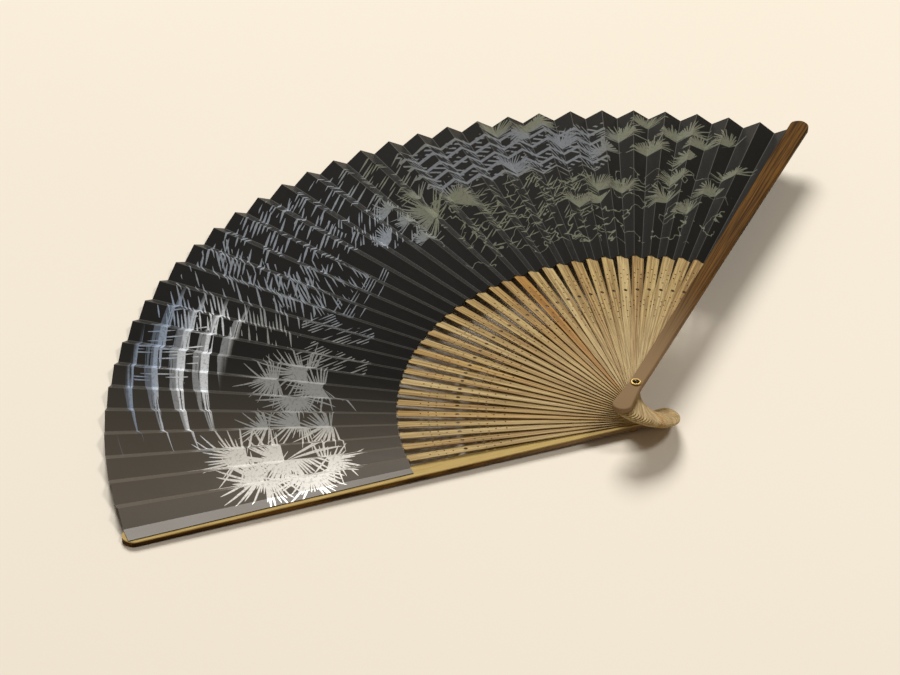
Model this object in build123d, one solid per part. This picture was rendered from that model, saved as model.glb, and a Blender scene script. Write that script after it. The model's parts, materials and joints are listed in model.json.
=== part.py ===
from build123d import *
import math
import os

# Folding hand fan: 33 pierced ribs and two guards on one rivet, two-ply pleated leaf.
# Drawn in the fan's own frame (rivet axis = Z, +Y = middle rib, z = 0 on the back
# guard's inner face), then laid on the table plane by one transform for every part.

# ------------------------------------------------------------- numbers (mm, degrees)
N = 33                      # inner ribs
GAPS = N + 1
PITCH = 4.0                 # between neighbouring sticks, open
OPEN = PITCH * GAPS
R_TIP = 209.0               # rivet to the front guard's tip
R_TIP_BACK = 206.5          # rivet to the back guard's tip
R_LEAF = 205.0              # rivet to leaf outer edge
R_IN = 92.5                 # rivet to leaf inner edge
TAIL = 18.5                 # rivet to tail end
LAYER = 0.5                 # stack height per rib
T_GUARD = 2.2
HALF = PITCH / 4.0          # half the plan angle of one leaf panel
PHI = 30.0                  # tilt of a leaf panel, and of the slip inside it
RIB_TILT = 13.0             # tilt of a rib's pierced blade at the leaf
PLY = 0.06
GLUE = 0.17                 # leaf centre plane to the ply's inner face
R_PIN = 1.2
R_HOLE = 1.28
BEND = 14.0                 # the ribs and the front guard start to lean here
TW0, TW1 = 16.0, 88.0       # the ribs twist between these radii
LEAN0, LEAN1 = 2.25, 3.5    # lean of rib 1 and rib 33 at the leaf's outer edge
GUARD_LEAN = 5.8            # lean of the front guard there

RISE = math.tan(math.radians(HALF)) * math.tan(math.radians(PHI))
COS = math.cos(math.radians(PHI))


def ang(k):
    return 90.0 + OPEN / 2.0 - PITCH * k


def rib_z(k):
    return 0.12 + LAYER * (k - 0.5)


Z_FRONT = rib_z(N) + 0.5 * LAYER + 0.12      # under face of the front guard at the rivet


def lean(k):
    return LEAN0 + (LEAN1 - LEAN0) * k / GAPS


def out(r):
    return (r - BEND) / (R_LEAF - BEND)


def mid_z(k, r):
    """Centre line of rib k, and of its leaf panel."""
    return rib_z(k) + lean(k) * max(0.0, out(r))


def guard_z(r):
    """Under face of the front guard."""
    return Z_FRONT + GUARD_LEAN * max(0.0, out(r))


LIFT = 0.05 + PLY + GLUE / COS               # leaf centre plane off a guard's face


def fold_lines():
    """The leaf's creases from back to front: (direction, z at the inner edge, z at the outer edge)."""
    lines = [(ang(0) + 0.7, LIFT, LIFT), (ang(0) - HALF, LIFT, LIFT)]
    for k in range(1, N + 1):
        for s in (1, -1):
            lines.append((ang(k) + s * HALF,
                          mid_z(k, R_IN) + s * RISE * R_IN,
                          mid_z(k, R_LEAF) + s * RISE * R_LEAF))
    for a in (ang(GAPS) + HALF, ang(GAPS) - 0.7):
        lines.append((a, guard_z(R_IN) - LIFT, guard_z(R_LEAF) - LIFT))
    return lines


def pol(r, a, z):
    return (r * math.cos(math.radians(a)), r * math.sin(math.radians(a)), z)


# ------------------------------------------------------------------------- the leaf
def ply(lo, hi):
    """One pleated sheet between two heights above the leaf's centre plane."""
    lines = fold_lines()
    top = [(pol(R_IN, a, zi + hi), pol(R_LEAF, a, zo + hi)) for a, zi, zo in lines]
    bot = [(pol(R_IN, a, zi + lo), pol(R_LEAF, a, zo + lo)) for a, zi, zo in lines]
    faces = []

    def face(*p):
        faces.append(Face(Wire.make_polygon([Vector(*q) for q in p], close=True)))

    for i in range(len(lines) - 1):
        for s in (top, bot):
            (a, b), (d, c) = s[i], s[i + 1]
            face(a, b, c)
            face(a, c, d)
        for e in (0, 1):
            face(bot[i][e], bot[i + 1][e], top[i + 1][e], top[i][e])
    for i in (0, len(lines) - 1):
        face(bot[i][0], bot[i][1], top[i][1], top[i][0])
    body = Solid(Shell(faces))
    return body


# ------------------------------------------------------------------------- the ribs
def smooth(t):
    t = min(1.0, max(0.0, t))
    return t * t * (3.0 - 2.0 * t)


def rib_width(r):
    if r <= 16.0:
        return 3.9
    return 3.9 + (5.0 - 3.9) * (r - 16.0) / (R_IN - 16.0)


def section(r, w, t, z, tilt):
    """A rib's cross-section at radius r, tilted so that its back-guard side is high."""
    c, s = math.cos(math.radians(tilt)), math.sin(math.radians(tilt))
    pts = []
    for u, v in ((-w / 2, -t / 2), (w / 2, -t / 2), (w / 2, t / 2), (-w / 2, t / 2)):
        pts.append(Vector(r, u * c - v * s, z + u * s + v * c))
    return Wire.make_polygon(pts, close=True)


SMALL = [(9.3, 0), (12.4, 1), (15.5, 1), (18.7, 0), (28.7, 0), (31.7, 1), (35.0, 1), (38.0, 0), (42.3, 0)]


def rib_tilt(r):
    return RIB_TILT * smooth((r - TW0) / (TW1 - TW0))


def rib(k):
    t0, t1, t2 = 0.36, 0.26, 0.14
    steps = [TW0 + (TW1 - TW0) * i / 9 for i in range(10)] + [R_IN - 0.6]
    secs = []
    for r in steps:
        t = t0 + (t1 - t0) * min(1.0, max(0.0, (r - TW0) / (TW1 - TW0)))
        secs.append(section(r, rib_width(r), t, mid_z(k, r), rib_tilt(r)))
    for r, w in ((R_IN - 0.15, 2.4), (R_LEAF - 3.0, 1.7)):
        secs.append(section(r, w, t2, mid_z(k, r), PHI))
    blade = Solid.make_loft(secs[:11], ruled=True)
    shoulder = Solid.make_loft(secs[10:12], ruled=True)
    slip = Solid.make_loft(secs[11:], ruled=True)
    # flat tail with a round end, up to the start of the twist
    z = rib_z(k)
    tail = Pos(0, 0, z - t0 / 2) * extrude(tail_face(3.9, TW0, 7.4), t0)
    body = tail.fuse(blade, shoulder, slip)
    cuts = [Pos(0, 0, z) * Cylinder(R_HOLE, 2)]
    for d, pair in SMALL + [(23.7, 2)]:
        r = R_IN - d
        tilt = rib_tilt(r)
        q = 0.8 if pair == 2 else 0.35
        for u in ((-1.4, 1.4) if pair == 1 else (0.0,)):
            cuts.append(Pos(r, 0, mid_z(k, r)) * Rot(tilt, 0, 0) * Pos(0, u, 0) * Cylinder(q, 1.4))
    body = body - cuts
    return Rot(0, 0, ang(k)) * body


def tail_face(w, r, wt):
    """Plan outline: straight neck of width w from the rivet to radius r, tail widening to wt."""
    c = TAIL - wt / 2
    pts = [(r, w / 2), (0, w / 2), (-4.0, w / 2 + 0.2), (-c, wt / 2)]
    with BuildSketch() as sk:
        with BuildLine():
            Polyline(*pts)
            ThreePointArc((-c, wt / 2), (-TAIL, 0), (-c, -wt / 2))
            Polyline(*[(x, -y) for x, y in reversed(pts)])
            Line((r, -w / 2), (r, w / 2))
        make_face()
    return sk.sketch


# ------------------------------------------------------------------------ the guards
def guard(k, front):
    w0, w1, wt = 5.4, 8.6, 7.8
    c = TAIL - wt / 2
    tip = R_TIP if front else R_TIP_BACK
    rt = tip - w1 / 2
    pts = [(rt, w1 / 2), (R_IN, 3.2), (0, w0 / 2), (-4.0, w0 / 2 + 0.2), (-c, wt / 2)]
    with BuildSketch() as sk:
        with BuildLine():
            Polyline(*pts)
            ThreePointArc((-c, wt / 2), (-TAIL, 0), (-c, -wt / 2))
            Polyline(*[(x, -y) for x, y in reversed(pts)])
            ThreePointArc((rt, -w1 / 2), (tip - 1.6, -w1 * 0.36), (tip, 0))
            ThreePointArc((tip, 0), (tip - 1.6, w1 * 0.36), (rt, w1 / 2))
        make_face()
    outline = sk.sketch
    if front:
        # side profile: level over the rivet, then leaning up to the tip
        z0, g = Z_FRONT, GUARD_LEAN * out(R_TIP + 6)
        x1 = R_TIP + 6
        prof = [(-TAIL - 5, z0), (BEND, z0), (x1, z0 + g), (x1, z0 + g + T_GUARD), (BEND, z0 + T_GUARD), (-TAIL - 5, z0 + T_GUARD)]
        slab = extrude(Plane.XZ * make_face(Polyline(*prof, close=True)), 20, both=True)
        body = extrude(Pos(0, 0, z0 - 5) * outline, 30) & slab
        body = body - Pos(0, 0, z0) * Cylinder(R_PIN + 0.02, 20)
    else:
        body = extrude(Pos(0, 0, -T_GUARD) * outline, T_GUARD)
        body = body - Cylinder(R_PIN, 20)
        # the under face steps up round the rivet's foot
        body = body - Pos(0, 0, -T_GUARD - 1.0) * Box(2 * (TAIL + 8), 30, 2.3)
    solid = body.solids()[0]
    edges = [e for e in solid.edges() if e.length > 30 and
             ((e.center().Z > guard_z(e.center().X) + T_GUARD - 0.05) if front else (e.center().Z < -T_GUARD + 0.05))]
    try:
        solid = solid.fillet(0.7, edges)
    except Exception:
        pass
    return Rot(0, 0, ang(k)) * solid


# ------------------------------------------------------------------------- the rivet
TOP = Z_FRONT + T_GUARD


def rivet_pin():
    pin = Pos(0, 0, (TOP - T_GUARD - 0.6) / 2) * Cylinder(R_PIN, TOP + T_GUARD + 0.6)
    dome = Pos(0, 0, TOP - 0.1) * Sphere(1.45) & Pos(0, 0, TOP + 1.0) * Cylinder(1.42, 2.0)
    return (pin + dome).solids()[0]


def rivet_ring():
    ring = Pos(0, 0, TOP + 0.35) * Cylinder(2.05, 0.7) - Pos(0, 0, TOP + 0.35) * Cylinder(1.47, 2)
    solid = ring.solids()[0]
    return solid.fillet(0.25, [e for e in solid.edges() if e.center().Z > TOP + 0.6 and e.geom_type == GeomType.CIRCLE and e.length > 10])


FOOT = T_GUARD + 1.3


def rivet_foot():
    foot = Pos(0, 0, -2.05 - (FOOT - 2.05) / 2) * Cylinder(2.5, FOOT - 2.05) - Cylinder(R_PIN, 20)
    solid = foot.solids()[0]
    return solid.fillet(0.5, [e for e in solid.edges() if e.center().Z < -FOOT + 0.05 and e.length > 12])


# ------------------------------------------------------------------ laying it down
def vec_sub(a, b):
    return tuple(x - y for x, y in zip(a, b))


def cross(a, b):
    return (a[1] * b[2] - a[2] * b[1], a[2] * b[0] - a[0] * b[2], a[0] * b[1] - a[1] * b[0])


def resting_normal():
    """Normal of the plane through the rivet's foot, the back guard's tip and the lowest fold."""
    foot = (0.0, 0.0, -FOOT)
    tip = pol(R_TIP_BACK - 3.0, ang(0), -T_GUARD)
    folds = [pol(R_LEAF, a, zo - LIFT + 0.05) for a, zi, zo in fold_lines()[2:-2]]
    planes = []
    for p in folds:
        n = cross(vec_sub(p, foot), vec_sub(tip, foot))
        size = math.sqrt(sum(x * x for x in n))
        n = tuple(x / size * (1 if n[2] > 0 else -1) for x in n)
        low = min(sum(u * v for u, v in zip(n, vec_sub(q, foot))) for q in folds)
        if n[2] > 0.98:
            planes.append((low, n))
    return max(planes)[1]


def laying(normal):
    """Rotation that brings the normal to +Z without turning the plan view."""
    n = Vector(*normal)
    axis = n.cross(Vector(0, 0, 1))
    angle = math.degrees(math.acos(max(-1.0, min(1.0, n.Z))))
    return axis.normalized(), angle


def build():
    parts = {"guard_back": guard(0, False), "guard_front": guard(GAPS, True)}
    for k in range(1, N + 1):
        parts["rib_%02d" % k] = rib(k)
    parts["rivet_pin"] = rivet_pin()
    parts["rivet_ring"] = rivet_ring()
    parts["rivet_foot"] = rivet_foot()
    inner, outer = GLUE / COS, (GLUE + PLY) / COS
    parts["leaf_front_ply"] = ply(inner, outer)
    parts["leaf_back_ply"] = ply(-outer, -inner)
    return parts


def laid(parts):
    """The parts on the table plane, with the transform that put them there."""
    axis, angle = laying(resting_normal())
    spin = Axis((0, 0, 0), (axis.X, axis.Y, axis.Z))
    turned = {n: s.rotate(spin, angle) for n, s in parts.items()}
    boxes = [s.bounding_box() for s in turned.values()]
    lo = [min(getattr(b.min, c) for b in boxes) for c in "XYZ"]
    hi = [max(getattr(b.max, c) for b in boxes) for c in "XYZ"]
    shift = (-(lo[0] + hi[0]) / 2, -(lo[1] + hi[1]) / 2, -lo[2])
    moved = {n: s.translate(shift) for n, s in turned.items()}
    return moved, (axis, angle, shift)


if __name__ == "__main__":
    os.makedirs("parts", exist_ok=True)
    moved, place = laid(build())
    for name, solid in moved.items():
        solid = solid.solids()[0]
        solid.label = name
        export_step(solid, "parts/%s.step" % name)
    print(place)
    lo = min(s.bounding_box().min.Z for s in moved.values())
    print("parts", len(moved), "lowest", lo)
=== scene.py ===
"""Looks of the folding hand fan: printed paper leaf, bamboo ribs, stained guards, brass rivet."""
import json
import math

import bmesh
import bpy
from mathutils import Matrix, Vector


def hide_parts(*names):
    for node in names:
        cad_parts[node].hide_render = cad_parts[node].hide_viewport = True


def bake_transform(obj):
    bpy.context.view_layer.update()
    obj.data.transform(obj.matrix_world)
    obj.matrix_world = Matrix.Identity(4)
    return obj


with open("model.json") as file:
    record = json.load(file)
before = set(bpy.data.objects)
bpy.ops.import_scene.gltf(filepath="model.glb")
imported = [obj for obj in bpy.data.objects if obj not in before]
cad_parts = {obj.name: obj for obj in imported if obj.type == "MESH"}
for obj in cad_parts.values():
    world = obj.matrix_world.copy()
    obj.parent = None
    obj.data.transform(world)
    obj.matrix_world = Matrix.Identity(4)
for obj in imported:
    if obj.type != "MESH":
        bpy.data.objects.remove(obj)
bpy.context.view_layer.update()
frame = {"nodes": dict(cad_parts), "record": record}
MM = 0.001

# The fan's own frame: rivet axis up, z = 0 on the back guard's inner face.
hinge = next(j for j in frame["record"]["behaviour"]["joints"] if j["name"] == "fan_fold")
AXIS = Vector(hinge["axis"])
PIVOT = Vector(hinge["pos_m"])
LAY = Vector((0, 0, 1)).rotation_difference(AXIS).to_matrix()

RIBS = 33
PITCH = 4.0                         # degrees from stick to stick, the guards included
R_IN, R_LEAF = 92.5 * MM, 205.0 * MM    # the leaf's inner and outer edge, from the rivet
PAPER = 0.24 * MM                   # both plies and the glue between them
PANEL = math.radians(2.31)          # flat apex angle of one panel
FLAT = 0.42                         # metres of flat sheet across the whole UV square
NEXT_TO_NOTHING = 1e-9              # share of the ink that only sets the order of work


def place(r, a, z):
    """A point given by radius, direction in degrees and height, in the row frame."""
    a = math.radians(a)
    return PIVOT + LAY @ Vector((r * math.cos(a), r * math.sin(a), z))


def direction(k):
    """Direction of stick k in degrees: 0 is the back guard, RIBS + 1 the front guard."""
    return 90 + PITCH * (RIBS + 1) / 2 - PITCH * k


# ------------------------------------------------------------------ node shorthand
class Nodes:
    """A node tree being wired: each call adds a node, sets its inputs and returns an output."""

    def __init__(self, tree):
        self.tree = tree

    def add(self, kind, **settings):
        node = self.tree.nodes.new(kind)
        for name, value in settings.items():
            setattr(node, name, value)
        return node

    def feed(self, node, *values):
        for socket, value in zip(node.inputs, values):
            self.set(socket, value)
        return node

    def set(self, socket, value):
        if isinstance(value, bpy.types.NodeSocket):
            self.tree.links.new(value, socket)
        elif value is not None:
            socket.default_value = value

    def math(self, op, *values):
        return self.feed(self.add("ShaderNodeMath", operation=op), *values).outputs[0]

    def vector(self, op, *values):
        node = self.feed(self.add("ShaderNodeVectorMath", operation=op), *values)
        return node.outputs["Value" if op in ("LENGTH", "DOT_PRODUCT", "DISTANCE") else "Vector"]

    def join(self, x, y, z=0.0):
        return self.feed(self.add("ShaderNodeCombineXYZ"), x, y, z).outputs[0]

    def split(self, v):
        return self.feed(self.add("ShaderNodeSeparateXYZ"), v).outputs

    def noise(self, v, scale, detail=3.0, rough=0.55):
        node = self.add("ShaderNodeTexNoise")
        for name, value in (("Vector", v), ("Scale", scale), ("Detail", detail), ("Roughness", rough)):
            self.set(node.inputs[name], value)
        return node.outputs["Fac"]

    def steps(self, x, lo, hi):
        """0 below lo, 1 above hi, smooth between."""
        node = self.add("ShaderNodeMapRange", interpolation_type="SMOOTHSTEP")
        self.feed(node, x, lo, hi, 0.0, 1.0)
        return node.outputs[0]

    def range(self, x, lo, hi, a, b):
        node = self.add("ShaderNodeMapRange")
        self.feed(node, x, lo, hi, a, b)
        return node.outputs[0]

    def mix(self, fac, a, b):
        """Colour a where fac is 0, b where it is 1. Sockets 6, 7 and 2 are the colour ones."""
        node = self.add("ShaderNodeMix", data_type="RGBA")
        self.set(node.inputs["Factor"], fac)
        self.set(node.inputs[6], a)
        self.set(node.inputs[7], b)
        return node.outputs[2]

    def bump(self, height, strength, distance):
        node = self.add("ShaderNodeBump")
        self.set(node.inputs["Strength"], strength)
        self.set(node.inputs["Distance"], distance)
        self.set(node.inputs["Height"], height)
        return node.outputs["Normal"]

    def after(self, sheet, ink):
        """The sheet again, so that what uses it is worked out after that ink."""
        return self.vector("ADD", sheet, self.join(self.math("MULTIPLY", ink, NEXT_TO_NOTHING), 0.0))

    def group(self, tree, **values):
        node = self.add("ShaderNodeGroup", node_tree=tree)
        for name, value in values.items():
            self.set(node.inputs[name.replace("_", " ").capitalize()], value)
        return node.outputs


def rgb(r, g, b):
    """A colour written as it looks on screen, 0 to 255."""
    def linear(c):
        return c / 12.92 if c <= 0.04045 else ((c + 0.055) / 1.055) ** 2.4

    return tuple(linear(c / 255) for c in (r, g, b)) + (1.0,)


def new_group(name, inputs, outputs):
    tree = bpy.data.node_groups.new(name, "ShaderNodeTree")
    for label, kind in inputs:
        tree.interface.new_socket(label, in_out="INPUT", socket_type=kind)
    for label, kind in outputs:
        tree.interface.new_socket(label, in_out="OUTPUT", socket_type=kind)
    n = Nodes(tree)
    return tree, n, n.add("NodeGroupInput").outputs, n.add("NodeGroupOutput").inputs


def new_material(name):
    material = bpy.data.materials.new(name)
    material.use_nodes = True
    n = Nodes(material.node_tree)
    return material, n, material.node_tree.nodes["Principled BSDF"].inputs


F, V = "NodeSocketFloat", "NodeSocketVector"


# ------------------------------------------------------------------- shared effects
def make_stick_grain():
    """Bamboo fibres that run away from the rivet: fine grain, broad streaks and dark pores."""
    tree, n, i, o = new_group(
        "stick_grain",
        [("Position", V), ("Fineness", F), ("Seed", F)],
        [("Grain", F), ("Streaks", F), ("Pores", F)])
    local = n.vector("SUBTRACT", i["Position"], tuple(PIVOT))
    x, y, z = n.split(local)
    r = n.vector("LENGTH", local)
    turn = n.math("ARCTAN2", y, x)
    across = n.math("MULTIPLY", turn, i["Fineness"])
    along = n.math("MULTIPLY", r, 14.0)
    v = n.join(across, along, n.math("ADD", i["Seed"], n.math("MULTIPLY", z, 300.0)))
    n.set(o["Grain"], n.noise(v, 9.0, 4.0, 0.6))
    n.set(o["Streaks"], n.noise(v, 1.6, 3.0, 0.5))
    fine = n.join(n.math("MULTIPLY", across, 2.4), n.math("MULTIPLY", r, 60.0), i["Seed"])
    pores = n.noise(fine, 8.0, 2.0, 0.6)
    n.set(o["Pores"], n.steps(pores, 0.62, 0.72))
    return tree


def make_needle_tuft():
    """A tuft of fine tapering strokes round one point of the flat sheet."""
    tree, n, i, o = new_group(
        "needle_tuft",
        [("Sheet", V), ("Under", F), ("Centre", V), ("Reach", F), ("Count", F), ("Width", F),
         ("Facing", F), ("Spread", F), ("Seed", F)],
        [("Ink", F)])
    local = n.vector("SUBTRACT", n.after(i["Sheet"], i["Under"]), i["Centre"])
    x, y, z = n.split(local)
    r = n.vector("LENGTH", local)
    turn = n.math("SUBTRACT", n.math("ARCTAN2", y, x), i["Facing"])
    turn = n.math("ADD", turn, n.math("MULTIPLY", r, 6.0))
    turn = n.math("SUBTRACT", n.math("FLOORED_MODULO", n.math("ADD", turn, math.pi), 2 * math.pi), math.pi)
    cell = n.math("ADD", n.math("MULTIPLY", n.math("DIVIDE", turn, 2 * math.pi), i["Count"]), 200.0)
    noise = n.add("ShaderNodeTexWhiteNoise", noise_dimensions="2D")
    n.set(noise.inputs["Vector"], n.join(n.math("FLOOR", cell), i["Seed"]))
    other = n.split(noise.outputs["Color"])
    centred = n.math("SUBTRACT", n.math("FRACT", cell), 0.5)
    offset = n.math("SUBTRACT", centred, n.math("MULTIPLY", n.math("SUBTRACT", other[1], 0.5), 0.6))
    aside = n.math("ABSOLUTE", offset)
    arc = n.math("MULTIPLY", aside, n.math("DIVIDE", n.math("MULTIPLY", r, 2 * math.pi), i["Count"]))
    share = n.math("ADD", n.math("MULTIPLY", noise.outputs["Value"], 0.65), 0.35)
    reach = n.math("MULTIPLY", i["Reach"], share)
    taper = n.math("SUBTRACT", 1.0, n.math("DIVIDE", r, reach))
    width = n.math("MULTIPLY", i["Width"], n.math("POWER", n.math("MAXIMUM", taper, 0.0), 0.5))
    stroke = n.math("LESS_THAN", arc, width)
    aside = n.math("ABSOLUTE", turn)
    spread = n.math("MULTIPLY", i["Spread"], n.math("ADD", n.math("MULTIPLY", other[2], 0.4), 0.7))
    gate = n.math("LESS_THAN", aside, spread)
    n.set(o["Ink"], n.math("MAXIMUM", i["Under"], n.math("MULTIPLY", stroke, gate)))
    return tree


def make_part_of_sheet():
    """1 between two sticks and two radii of the flat sheet (metres), fading over the soft edge."""
    tree, n, i, o = new_group(
        "part_of_sheet",
        [("Sheet", V), ("From stick", F), ("To stick", F), ("From radius", F), ("To radius", F),
         ("Soft", F)],
        [("Inside", F), ("Stick", F), ("Radius", F)])
    x, y, z = n.split(i["Sheet"])
    stick = n.math("ADD", n.math("DIVIDE", n.math("ARCTAN2", x, y), 2 * PANEL), (RIBS + 1) / 2)
    r = n.vector("LENGTH", i["Sheet"])
    wide = n.math("MULTIPLY", i["Soft"], 5 * MM)

    def gate(value, edge, soft):
        return n.steps(value, n.math("SUBTRACT", edge, soft), n.math("ADD", edge, soft))

    inside = gate(stick, i["From stick"], i["Soft"])
    inside = n.math("MULTIPLY", inside, n.math("SUBTRACT", 1.0, gate(stick, i["To stick"], i["Soft"])))
    inside = n.math("MULTIPLY", inside, gate(r, i["From radius"], wide))
    inside = n.math("MULTIPLY", inside, n.math("SUBTRACT", 1.0, gate(r, i["To radius"], wide)))
    n.set(o["Inside"], inside)
    n.set(o["Stick"], stick)
    n.set(o["Radius"], r)
    return tree


def make_dashes():
    """Rows of short tapering strokes: spacing and length in metres, some of them left out."""
    tree, n, i, o = new_group(
        "dashes",
        [("Sheet", V), ("Under", F), ("Tilt", F), ("Spacing", F), ("Length", F), ("Width", F),
         ("Chance", F), ("Where", F), ("Seed", F)],
        [("Ink", F)])
    x, y, z = n.split(n.after(i["Sheet"], i["Under"]))
    c, s = n.math("COSINE", i["Tilt"]), n.math("SINE", i["Tilt"])
    along = n.math("ADD", n.math("MULTIPLY", x, c), n.math("MULTIPLY", y, s))
    across = n.math("SUBTRACT", n.math("MULTIPLY", y, c), n.math("MULTIPLY", x, s))
    wave = n.math("SINE", n.math("MULTIPLY", along, 90.0))
    across = n.math("ADD", across, n.math("MULTIPLY", wave, n.math("MULTIPLY", i["Spacing"], 0.6)))
    row = n.math("ADD", n.math("DIVIDE", across, i["Spacing"]), 500.0)
    noise = n.add("ShaderNodeTexWhiteNoise", noise_dimensions="2D")
    n.set(noise.inputs["Vector"], n.join(n.math("FLOOR", row), i["Seed"]))
    count = n.math("DIVIDE", along, i["Length"])
    stroke = n.math("ADD", n.math("ADD", count, n.math("MULTIPLY", noise.outputs["Value"], 7.0)), 500.0)
    other = n.add("ShaderNodeTexWhiteNoise", noise_dimensions="3D")
    n.set(other.inputs["Vector"], n.join(n.math("FLOOR", row), n.math("FLOOR", stroke), i["Seed"]))
    chances = n.split(other.outputs["Color"])
    t = n.math("ABSOLUTE", n.math("SUBTRACT", n.math("MULTIPLY", n.math("FRACT", stroke), 2.0), 1.0))
    room = n.math("SUBTRACT", n.math("ADD", n.math("MULTIPLY", chances[1], 0.5), 0.5), t)
    thick = n.math("MULTIPLY", i["Width"], n.math("POWER", n.math("MAXIMUM", room, 0.0), 0.6))
    off = n.math("MULTIPLY", n.math("ABSOLUTE", n.math("SUBTRACT", n.math("FRACT", row), 0.5)), i["Spacing"])
    inside = n.math("LESS_THAN", off, thick)
    kept = n.math("LESS_THAN", other.outputs["Value"], n.math("MULTIPLY", i["Chance"], i["Where"]))
    drawn = n.math("MULTIPLY", inside, kept)
    n.set(o["Ink"], n.math("MAXIMUM", i["Under"], drawn))
    return tree


STICK_GRAIN = make_stick_grain()
NEEDLE_TUFT = make_needle_tuft()
PART_OF_SHEET = make_part_of_sheet()
DASHES = make_dashes()


# ------------------------------------------------------------------------ materials
def sheet_point(k, r):
    """A place on the flat leaf in metres: k counts sticks from the back guard, r in mm from the rivet."""
    a = (2 * k - (RIBS + 1)) * PANEL
    return (r * MM * math.sin(a), r * MM * math.cos(a), 0.0)


def sheet_turn(k):
    """Direction on the flat leaf that points from the rivet along stick k."""
    return math.pi / 2 - (2 * k - (RIBS + 1)) * PANEL


# stick number, radius, reach, strokes, stroke width, way it faces from straight out, half spread
# (mm and degrees)
TUFTS = [
    (1.0, 131, 22, 56, 0.75, 90, 150), (2.2, 138, 24, 60, 0.80, 60, 150),
    (1.2, 148, 22, 56, 0.75, 20, 150), (2.5, 152, 24, 60, 0.60, 10, 120),
    (1.6, 122, 17, 44, 0.6, 180, 130),
    (4.0, 118, 18, 50, 0.50, 10, 120), (4.3, 130, 20, 54, 0.50, 20, 120),
    (4.1, 142, 18, 50, 0.45, 0, 100),
    (6.6, 122, 20, 54, 0.55, 20, 120), (7.6, 130, 21, 56, 0.55, 0, 130),
    (6.9, 141, 21, 54, 0.50, 10, 110), (5.8, 132, 18, 50, 0.50, 60, 110),
    (20.0, 146, 26, 66, 0.50, 40, 110), (21.4, 150, 20, 54, 0.45, -60, 100),
]

# Parts of the sheet below are (from stick, to stick, from radius, to radius in mm).
# spacing of the tufts, reach, stroke width (mm), part of the sheet
SCATTERED = [
    (17.0, 18, 0.60, (24.0, 31.2, 166, 197)),
    (18.0, 18, 0.50, (26.2, 33.4, 126, 160)),
    (20.0, 19, 0.50, (24.8, 32.6, 172, 198)),
    (17.0, 14, 0.45, (17.5, 22.6, 134, 168)),
]

# tilt (radians), spacing, length, width (mm), share of the strokes drawn, part of the sheet
STROKES = [
    (1.05, 1.5, 15, 0.50, 0.60, (9.2, 13.4, 138, 200)),
    (0.55, 1.9, 11, 0.62, 0.60, (12.0, 16.6, 150, 200)),
    (1.30, 1.3, 13, 0.40, 0.65, (11.6, 15.0, 132, 160)),
    (0.20, 1.6, 12, 0.52, 0.50, (15.6, 20.6, 168, 198)),
    (0.75, 1.2, 10, 0.40, 0.45, (16.4, 19.4, 140, 170)),
    (2.45, 1.3, 16, 0.36, 0.55, (6.4, 9.6, 174, 198)),
    (0.10, 1.8, 9, 0.45, 0.34, (19.6, 27.0, 112, 158)),
    (2.20, 2.1, 8, 0.45, 0.30, (20.4, 27.4, 108, 166)),
    (2.75, 1.1, 14, 0.32, 0.85, (8.2, 9.5, 106, 136)),
    (2.65, 1.1, 14, 0.32, 0.85, (10.3, 11.5, 110, 142)),
    (0.30, 1.4, 12, 0.32, 0.6, (11.8, 15.8, 122, 134)),
]

BLADES = (3.0, 10.6, 163, 199)
BANDS = (20.6, 27.8, 162, 196)
TWIGS = (19.0, 33.0, 104, 160)


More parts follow.
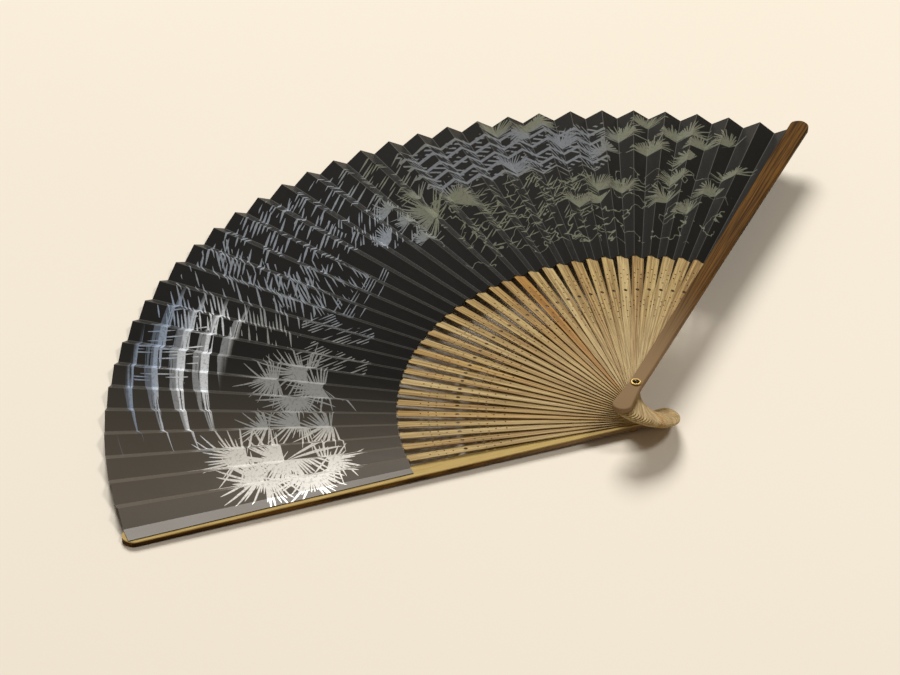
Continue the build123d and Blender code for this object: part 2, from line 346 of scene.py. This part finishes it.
def make_printed_paper():
    """Black paper with a silver print: needle tufts, long blades, bands and rows of short strokes."""
    material, n, shader = new_material("printed_paper")
    uv = n.add("ShaderNodeUVMap", uv_map="flat_sheet").outputs[0]
    flat = n.vector("SCALE", n.vector("SUBTRACT", uv, (0.5, 0.0, 0.0)))
    flat.node.inputs["Scale"].default_value = FLAT

    wobble = n.math("SUBTRACT", n.noise(flat, 60.0, 2.0), 0.5)

    def window(k0, k1, r0, r1, soft=0.8, at=None):
        """1 inside that part of the sheet."""
        return n.group(PART_OF_SHEET, sheet=at, from_stick=k0, to_stick=k1,
                       from_radius=r0 * MM, to_radius=r1 * MM, soft=soft)["Inside"]

    ink = 0.0
    for number, (k, rad, reach, count, width, facing, spread) in enumerate(TUFTS):
        ink = n.group(NEEDLE_TUFT, sheet=flat, under=ink, centre=sheet_point(k, rad),
                      reach=reach * MM, count=float(count), width=width * MM,
                      facing=sheet_turn(k) + math.radians(facing), spread=math.radians(spread),
                      seed=float(number))["Ink"]

    # tufts scattered over the front guard's side
    for number, (size, reach, width, box) in enumerate(SCATTERED):
        shift = 1.0 + number * 0.37
        cells = n.add("ShaderNodeTexVoronoi", voronoi_dimensions="2D")
        later = n.math("ADD", n.math("MULTIPLY", ink, NEXT_TO_NOTHING), shift)
        seat = n.vector("ADD", flat, n.join(later, 1.0))
        for name, value in (("Vector", seat), ("Scale", 1000.0 / size), ("Randomness", 0.8)):
            n.set(cells.inputs[name], value)
        centre = n.vector("SUBTRACT", cells.outputs["Position"], (shift, 1.0, 0.0))
        x, y, z = n.split(centre)
        shade = n.split(cells.outputs["Color"])
        chosen = n.math("GREATER_THAN", window(*box, soft=0.1, at=centre), 0.5)
        # never quite 0, because a reach of 0 inks the whole sheet
        far = n.math("ADD", n.math("MULTIPLY", chosen, reach * MM), 1e-6)
        out = n.math("ARCTAN2", y, x)
        facing = n.math("ADD", out, n.math("MULTIPLY", n.math("SUBTRACT", shade[0], 0.3), 1.6))
        ink = n.group(NEEDLE_TUFT, sheet=flat, under=ink, centre=centre, reach=far, count=46.0,
                      width=width * MM, facing=facing, spread=1.6,
                      seed=n.math("MULTIPLY", shade[1], 90.0))["Ink"]

    # long blades that cross the folds near the back guard and end in points
    spot = n.after(flat, ink)
    polar = n.group(PART_OF_SHEET, sheet=spot, soft=1.0)
    stick, r = polar["Stick"], polar["Radius"]
    bend = n.math("POWER", n.math("SUBTRACT", 10.2, stick), 2.0)
    sweep = n.math("SUBTRACT", r, n.math("MULTIPLY", bend, -0.30 * MM))
    lane = n.math("ADD", n.math("DIVIDE", n.math("SUBTRACT", sweep, 160 * MM), 9.6 * MM), 50.0)
    lot = n.add("ShaderNodeTexWhiteNoise", noise_dimensions="1D")
    n.set(lot.inputs["W"], n.math("FLOOR", lane))
    point = n.math("ADD", n.math("MULTIPLY", lot.outputs["Value"], 1.6), 2.3)
    swell = n.steps(n.math("SUBTRACT", stick, point), -0.1, 4.6)
    fade = n.math("SUBTRACT", 1.0, n.math("MULTIPLY", n.steps(stick, 8.0, 11.0), 0.8))
    thick = n.math("MULTIPLY", swell, fade)
    side = n.math("SUBTRACT", n.math("FRACT", lane), 0.5)
    blade = n.math("LESS_THAN", n.math("ABSOLUTE", side), n.math("MULTIPLY", thick, 0.34))
    drawn = n.join(n.math("MULTIPLY", stick, 0.10), n.math("MULTIPLY", lane, 2.4))
    vein = n.math("GREATER_THAN", n.noise(drawn, 5.0, 2.0, 0.5), 0.40)
    shaded = n.range(n.math("MULTIPLY", side, n.math("ADD", thick, 0.2)), -0.02, 0.03, 1.0, 0.36)
    vein = n.math("MULTIPLY", vein, shaded)
    blades = n.math("MULTIPLY", n.math("MULTIPLY", blade, vein), window(*BLADES, 0.3, spot))
    ink = n.math("MAXIMUM", ink, blades)

    # bands that follow the rim, between sticks 21 and 28
    spot = n.after(flat, ink)
    polar = n.group(PART_OF_SHEET, sheet=spot, soft=1.0)
    stick, r = polar["Stick"], polar["Radius"]
    beyond = n.math("SUBTRACT", r, 160 * MM)
    drift = n.math("MULTIPLY", n.math("SUBTRACT", stick, 24.0), 0.9 * MM)
    ring = n.math("ADD", n.math("DIVIDE", n.math("ADD", beyond, drift), 7.4 * MM), 20.0)
    band = n.math("LESS_THAN", n.math("ABSOLUTE", n.math("SUBTRACT", n.math("FRACT", ring), 0.5)), 0.13)
    slant = n.math("ADD", n.math("MULTIPLY", stick, 5.0), n.math("MULTIPLY", r, 260.0))
    comb = n.math("LESS_THAN", n.math("FRACT", slant), 0.36)
    comb = n.math("MULTIPLY", comb, n.math("GREATER_THAN", n.noise(spot, 190.0, 1.0), 0.50))
    marks = n.math("MAXIMUM", band, comb)
    here = n.math("GREATER_THAN", n.math("ADD", window(*BANDS, at=spot), wobble), 0.5)
    bands = n.math("MULTIPLY", marks, here)
    ink = n.math("MAXIMUM", ink, bands)

    # short strokes, then thin broken twigs
    for number, (tilt, spacing, length, width, chance, box) in enumerate(STROKES):
        inside = window(*box, at=n.after(flat, ink))
        here = n.math("GREATER_THAN", n.math("ADD", inside, n.math("MULTIPLY", wobble, 1.2)), 0.5)
        ink = n.group(DASHES, sheet=flat, under=ink, tilt=tilt, spacing=spacing * MM,
                      length=length * MM, width=width * MM, chance=chance, where=here,
                      seed=float(number))["Ink"]
    spot = n.after(flat, ink)
    contour = n.math("ABSOLUTE", n.math("SUBTRACT", n.noise(spot, 55.0, 3.0, 0.5), 0.5))
    line = n.math("LESS_THAN", contour, 0.006)
    twigs = n.math("MULTIPLY", line, n.math("GREATER_THAN", window(*TWIGS, at=spot), 0.5))
    ink = n.math("MAXIMUM", ink, twigs)
    worn = n.range(n.noise(flat, 900.0, 3.0, 0.7), 0.34, 0.48, 0.6, 1.0)
    ink = n.math("MULTIPLY", ink, worn)

    # the silver's tint changes over the sheet
    spot = n.after(flat, ink)
    polar = n.group(PART_OF_SHEET, sheet=spot, soft=1.0)
    stick, r = polar["Stick"], polar["Radius"]
    bright = n.mix(n.steps(stick, 3.2, 4.4), rgb(236, 234, 228), rgb(170, 172, 170))
    in_blades = window(2.4, 10.6, 164, 204, 0.3, spot)
    steel = n.mix(n.steps(r, 176 * MM, 194 * MM), rgb(240, 245, 250), rgb(160, 176, 198))
    bright = n.mix(in_blades, bright, steel)
    cool = n.mix(n.steps(stick, 9.5, 12.0), bright, rgb(160, 168, 178))
    olive = n.mix(n.steps(stick, 17.5, 20.0), cool, rgb(132, 134, 116))
    tint = n.mix(window(*BANDS, at=spot), olive, rgb(134, 138, 144))

    fibre = n.noise(flat, 420.0, 4.0, 0.65)
    cloud = n.noise(flat, 22.0, 2.0, 0.5)
    paper = n.mix(fibre, rgb(14, 14, 12), rgb(27, 26, 23))
    crease = n.math("ABSOLUTE", n.math("SUBTRACT", n.math("FRACT", n.math("MULTIPLY", stick, 2.0)), 0.5))
    worn_edge = n.math("SUBTRACT", 1.0, n.steps(crease, 0.0, 0.035))
    paper = n.mix(n.math("MULTIPLY", worn_edge, 0.75), paper, rgb(114, 111, 104))
    # painted sheen: near the back guard the paper is lightened to grey-brown, standing in for a reflection;
    # the lower roughness there is the real polish
    polish_and_painted_sheen = n.math("SUBTRACT", 1.0, n.steps(stick, 1.0, 8.5))
    paper = n.mix(n.math("MULTIPLY", polish_and_painted_sheen, 0.95), paper, rgb(102, 94, 83))
    n.set(shader["Base Color"], n.mix(ink, paper, tint))
    rough = n.range(cloud, 0.3, 0.7, 0.44, 0.5)
    n.set(shader["Roughness"], n.math("SUBTRACT", rough, n.math("MULTIPLY", polish_and_painted_sheen, 0.1)))
    n.set(shader["Metallic"], n.math("MULTIPLY", ink, 0.3))
    shader["Specular IOR Level"].default_value = 0.3
    height = n.math("ADD", n.math("MULTIPLY", fibre, 0.4), n.math("MULTIPLY", cloud, 3.0))
    n.set(shader["Normal"], n.bump(height, 0.5, 0.1 * MM))
    return material


def make_plain_paper():
    material, n, shader = new_material("plain_black_paper")
    uv = n.add("ShaderNodeUVMap", uv_map="flat_sheet").outputs[0]
    fibre = n.noise(uv, 180.0, 4.0, 0.65)
    cloud = n.noise(uv, 9.0, 2.0, 0.5)
    n.set(shader["Base Color"], n.mix(fibre, rgb(26, 26, 24), rgb(40, 39, 36)))
    n.set(shader["Roughness"], n.range(cloud, 0.3, 0.7, 0.55, 0.68))
    n.set(shader["Normal"], n.bump(n.math("ADD", fibre, n.math("MULTIPLY", cloud, 3.0)), 0.5, 0.1 * MM))
    return material


def make_bamboo(name, pale, deep, seed):
    """Pale bamboo with fibres along the rib."""
    material, n, shader = new_material(name)
    spot = n.add("ShaderNodeTexCoord").outputs["Object"]
    grain = n.group(STICK_GRAIN, position=spot, fineness=60.0, seed=seed)
    colour = n.mix(n.steps(grain["Streaks"], 0.38, 0.62), deep, pale)
    shade = tuple(c * 0.4 for c in deep[:3]) + (1.0,)
    colour = n.mix(n.math("MULTIPLY", n.steps(grain["Grain"], 0.45, 0.62), 0.5), colour, shade)
    colour = n.mix(n.math("MULTIPLY", grain["Pores"], 0.45), colour, rgb(96, 62, 32))
    n.set(shader["Base Color"], colour)
    n.set(shader["Roughness"], n.range(grain["Grain"], 0.3, 0.7, 0.46, 0.62))
    shader["Specular IOR Level"].default_value = 0.3
    n.set(shader["Normal"], n.bump(grain["Grain"], 0.35, 0.05 * MM))
    return material


def make_guard(name, inner_face):
    """Stained brown bamboo, lightened near the rivet as a painted sheen; the back guard's inner face is
    pale.
    """
    material, n, shader = new_material(name)
    spot = n.add("ShaderNodeTexCoord").outputs["Object"]
    grain = n.group(STICK_GRAIN, position=spot, fineness=140.0, seed=3.0)
    r = n.vector("DISTANCE", spot, tuple(PIVOT))
    stain = n.mix(n.steps(grain["Streaks"], 0.35, 0.65), rgb(58, 36, 9), rgb(112, 76, 26))
    stain = n.mix(n.math("MULTIPLY", n.steps(grain["Grain"], 0.5, 0.72), 0.6), stain, rgb(28, 15, 5))
    # painted sheen: the stain is lightened to pale brown near the rivet
    colour = n.mix(n.math("SUBTRACT", 1.0, n.steps(r, 12 * MM, 80 * MM)), stain, rgb(142, 116, 84))
    if inner_face:
        depth = n.vector("DOT_PRODUCT", n.vector("SUBTRACT", spot, tuple(PIVOT)), tuple(AXIS))
        pale = n.mix(n.steps(grain["Grain"], 0.3, 0.7), rgb(206, 182, 116), rgb(172, 142, 84))
        colour = n.mix(n.steps(depth, -0.55 * MM, -0.35 * MM), colour, pale)
    n.set(shader["Base Color"], colour)
    n.set(shader["Roughness"], n.range(grain["Grain"], 0.3, 0.7, 0.5, 0.66))
    shader["Specular IOR Level"].default_value = 0.06
    n.set(shader["Normal"], n.bump(grain["Grain"], 0.4, 0.06 * MM))
    return material


def make_brass():
    material, n, shader = new_material("aged_brass")
    spot = n.add("ShaderNodeTexCoord").outputs["Object"]
    cloud = n.noise(spot, 900.0, 4.0, 0.6)
    n.set(shader["Base Color"], n.mix(cloud, rgb(150, 118, 62), rgb(206, 178, 112)))
    n.set(shader["Roughness"], n.range(cloud, 0.3, 0.7, 0.28, 0.5))
    shader["Metallic"].default_value = 1.0
    n.set(shader["Normal"], n.bump(cloud, 0.2, 0.05 * MM))
    return material


def make_dark_head():
    material, n, shader = new_material("dark_glossy_head")
    spot = n.add("ShaderNodeTexCoord").outputs["Object"]
    cloud = n.noise(spot, 1400.0, 3.0, 0.6)
    n.set(shader["Base Color"], n.mix(cloud, rgb(34, 27, 8), rgb(70, 56, 24)))
    n.set(shader["Roughness"], n.range(cloud, 0.3, 0.7, 0.16, 0.3))
    shader["Metallic"].default_value = 0.6
    return material


printed_paper = make_printed_paper()
plain_paper = make_plain_paper()
bamboos = [
    make_bamboo("bamboo_straw", rgb(202, 176, 118), rgb(150, 120, 70), 1.0),
    make_bamboo("bamboo_sand", rgb(194, 164, 106), rgb(140, 108, 60), 2.0),
    make_bamboo("bamboo_honey", rgb(198, 165, 102), rgb(148, 114, 62), 4.0),
    make_bamboo("bamboo_pale", rgb(208, 184, 130), rgb(160, 132, 82), 5.0),
    make_bamboo("bamboo_amber", rgb(192, 146, 74), rgb(152, 108, 48), 6.0),
]
# which of them each rib has, from the back guard on
TONES = [0, 1, 3, 0, 2, 1, 0, 3, 1, 0, 2, 0, 1, 3, 0, 1, 0,
         0, 2, 1, 4, 0, 3, 0, 1, 0, 0, 3, 1, 0, 3, 0, 1]


def dress(node, material):
    """Give a CAD node its finished material."""
    o = frame["nodes"][node]
    for s in o.material_slots:
        s.material = material
    if not o.material_slots:
        o.data.materials.append(material)


for k in range(1, RIBS + 1):
    dress("rib_%02d" % k, bamboos[TONES[k - 1]])
dress("guard_front", make_guard("guard_stain", False))
dress("guard_back", make_guard("guard_stain_pale_inside", True))
brass = make_brass()
dress("rivet_ring", brass)
dress("rivet_foot", brass)
dress("rivet_pin", make_dark_head())


# ------------------------------------------------------------------- the paper leaf
RISE = math.tan(math.radians(1.0)) * math.tan(math.radians(30.0))   # of a fold, per radius
GAP = 0.12 * MM                     # between the back guard and the first rib
LAYER = 0.5 * MM                    # from rib to rib in the stack
BEND = 14.0 * MM                    # sticks start to lean at this radius
STACK = GAP + LAYER * (RIBS - 0.5)
GUARD_GAP = 0.37 * MM               # from the last rib's middle to the front guard's under face
STICK_LEAN, MORE_LEAN = 2.25, 1.25  # mm at the rim: at the back guard, and added by the front one
GUARD_LEAN = 5.8 * MM
LIFT = 0.25 * MM                    # of the leaf's end panels off the guards


def lean(r):
    """How much of a stick's lean is reached at radius r, 1 at the rim."""
    return max(0.0, (r - BEND) / (R_LEAF - BEND))


def panel_height(k, r):
    """Middle of the leaf panel that stick k carries."""
    return GAP + LAYER * (k - 0.5) + (STICK_LEAN + MORE_LEAN * k / (RIBS + 1)) * MM * lean(r)


def crease(k, side, r):
    """A fold of the leaf at radius r: (direction, height). side 1 is a ridge, -1 a valley."""
    if k == 0:
        return direction(0) + (0.86 if side > 0 else -1.0), LIFT
    if k == RIBS + 1:
        return direction(k) + (1.0 if side > 0 else -0.7), STACK + GUARD_GAP + GUARD_LEAN * lean(r) - LIFT
    return direction(k) + side, panel_height(k, r) + side * RISE * r


def sort_faces(bm):
    """Put the faces in order of their vertices: the extrusion leaves them in no fixed order."""
    bm.verts.index_update()
    base = len(bm.verts)

    def key(face):
        number = 0
        for index in sorted(v.index for v in face.verts):
            number = number * base + index
        return number

    bm.faces.sort(key=key)


def pleat(name, folds):
    """One strip of the leaf through the given folds: a thin closed sheet with flat-sheet UVs."""
    bm = bmesh.new()
    bmesh.ops.create_grid(bm, x_segments=len(folds) - 1, y_segments=6, size=0.5)
    flat = {}
    for v in bm.verts:
        k, side = folds[round((v.co.x + 0.5) * (len(folds) - 1))]
        r = R_IN + (R_LEAF - R_IN) * (v.co.y + 0.5)
        turn = (2 * k - side * 0.5 - (RIBS + 1)) * PANEL
        flat[v.index] = (0.5 + r * math.sin(turn) / FLAT, r * math.cos(turn) / FLAT)
        a, z = crease(k, side, r)
        v.co = place(r, a, z - PAPER / 2)
    bm.normal_update()
    if sum(f.normal.dot(AXIS) for f in bm.faces) < 0:
        bmesh.ops.reverse_faces(bm, faces=bm.faces)
    uv = bm.loops.layers.uv.new("flat_sheet")
    for f in bm.faces:
        for loop in f.loops:
            loop[uv].uv = flat[loop.vert.index]
    upper = bmesh.ops.extrude_face_region(bm, geom=bm.faces[:], use_keep_orig=True)["geom"]
    bmesh.ops.translate(bm, verts=[g for g in upper if isinstance(g, bmesh.types.BMVert)], vec=AXIS * PAPER)
    bmesh.ops.recalc_face_normals(bm, faces=bm.faces)
    for f in bm.faces:
        f.material_index = 0 if f.normal.dot(AXIS) > 0.3 else 1
    sort_faces(bm)
    mesh = bpy.data.meshes.new(name)
    bm.to_mesh(mesh)
    bm.free()
    mesh.materials.append(printed_paper)
    mesh.materials.append(plain_paper)
    piece = bpy.data.objects.new(name, mesh)
    bpy.context.collection.objects.link(piece)
    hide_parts("leaf_front_ply", "leaf_back_ply")
    return piece


def fold_between(piece):
    """Bake the strip's placement into its mesh."""
    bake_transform(piece)


for k in range(1, RIBS + 2):
    ends = [(0, 1)] if k == 1 else []
    strip = pleat("pleat_%02d" % k, ends + [(k - 1, -1), (k, 1), (k, -1)])
    fold_between(strip)


# ------------------------------------------------------------- table, light, camera
def make_table():
    mesh = bpy.data.meshes.new("table")
    bm = bmesh.new()
    bmesh.ops.create_grid(bm, x_segments=1, y_segments=1, size=3.0)
    bm.to_mesh(mesh)
    bm.free()
    table = bpy.data.objects.new("table", mesh)
    bpy.context.collection.objects.link(table)
    material, n, shader = new_material("cream_table")
    spot = n.add("ShaderNodeTexCoord").outputs["Object"]
    cloud = n.noise(spot, 2.5, 2.0, 0.5)
    fleck = n.noise(spot, 260.0, 3.0, 0.6)
    n.set(shader["Base Color"], n.mix(cloud, rgb(247, 238, 221), rgb(250, 243, 229)))
    shader["Roughness"].default_value = 0.9
    n.set(shader["Normal"], n.bump(fleck, 0.08, 0.2 * MM))
    mesh.materials.append(material)


def add_area(name, towards, distance, size, power, colour):
    lamp = bpy.data.lights.new(name, "AREA")
    lamp.shape, lamp.size, lamp.energy, lamp.color = "DISK", size, power, colour
    o = bpy.data.objects.new(name, lamp)
    o.location = Vector(towards).normalized() * distance
    o.rotation_euler = Vector(towards).to_track_quat("Z", "Y").to_euler()
    bpy.context.collection.objects.link(o)


def place_camera(azimuth, elevation, roll, distance, target, lens):
    """A camera that looks along azimuth (0 is +Y), down by elevation, at a point on the table."""
    az, el, roll = (math.radians(x) for x in (azimuth, elevation, roll))
    back = Vector((math.sin(az) * math.cos(el), -math.cos(az) * math.cos(el), math.sin(el)))
    right = Vector((math.cos(az), math.sin(az), 0))
    up = back.cross(right)
    right, up = right * math.cos(roll) + up * math.sin(roll), up * math.cos(roll) - right * math.sin(roll)
    data = bpy.data.cameras.new("camera")
    data.sensor_width, data.lens, data.clip_start, data.clip_end = 36.0, lens, 0.01, 20.0
    camera = bpy.data.objects.new("camera", data)
    turn = Matrix((right, up, back)).transposed().to_4x4()
    camera.matrix_world = Matrix.Translation(Vector(target) + back * distance) @ turn
    bpy.context.collection.objects.link(camera)
    bpy.context.scene.camera = camera
    return right, back


make_table()
right, back = place_camera(azimuth=-46.48, elevation=38.62, roll=4.28, distance=1.0438,
                           target=(-0.01675, -0.00677, 0), lens=102.48)
away = Vector((-back.x, -back.y, 0)).normalized()
sideways = Vector((right.x, right.y, 0)).normalized()
UP = Vector((0, 0, 1))
add_area("window", away * 0.86 - sideways * 0.22 + UP * 1.05,
         distance=4.5, size=2.1, power=176.0, colour=(1.0, 0.985, 0.95))
add_area("overhead", sideways * 0.42 - away * 0.16 + UP * 0.9,
         distance=2.2, size=0.45, power=11.0, colour=(1.0, 0.97, 0.93))
world = bpy.data.worlds.new("studio")
bpy.context.scene.world = world
world.use_nodes = True
world.node_tree.nodes["Background"].inputs["Color"].default_value = (1.0, 0.84, 0.68, 1.0)
world.node_tree.nodes["Background"].inputs["Strength"].default_value = 0.13
bpy.context.scene.view_settings.view_transform = "Standard"

bpy.context.view_layer.update()
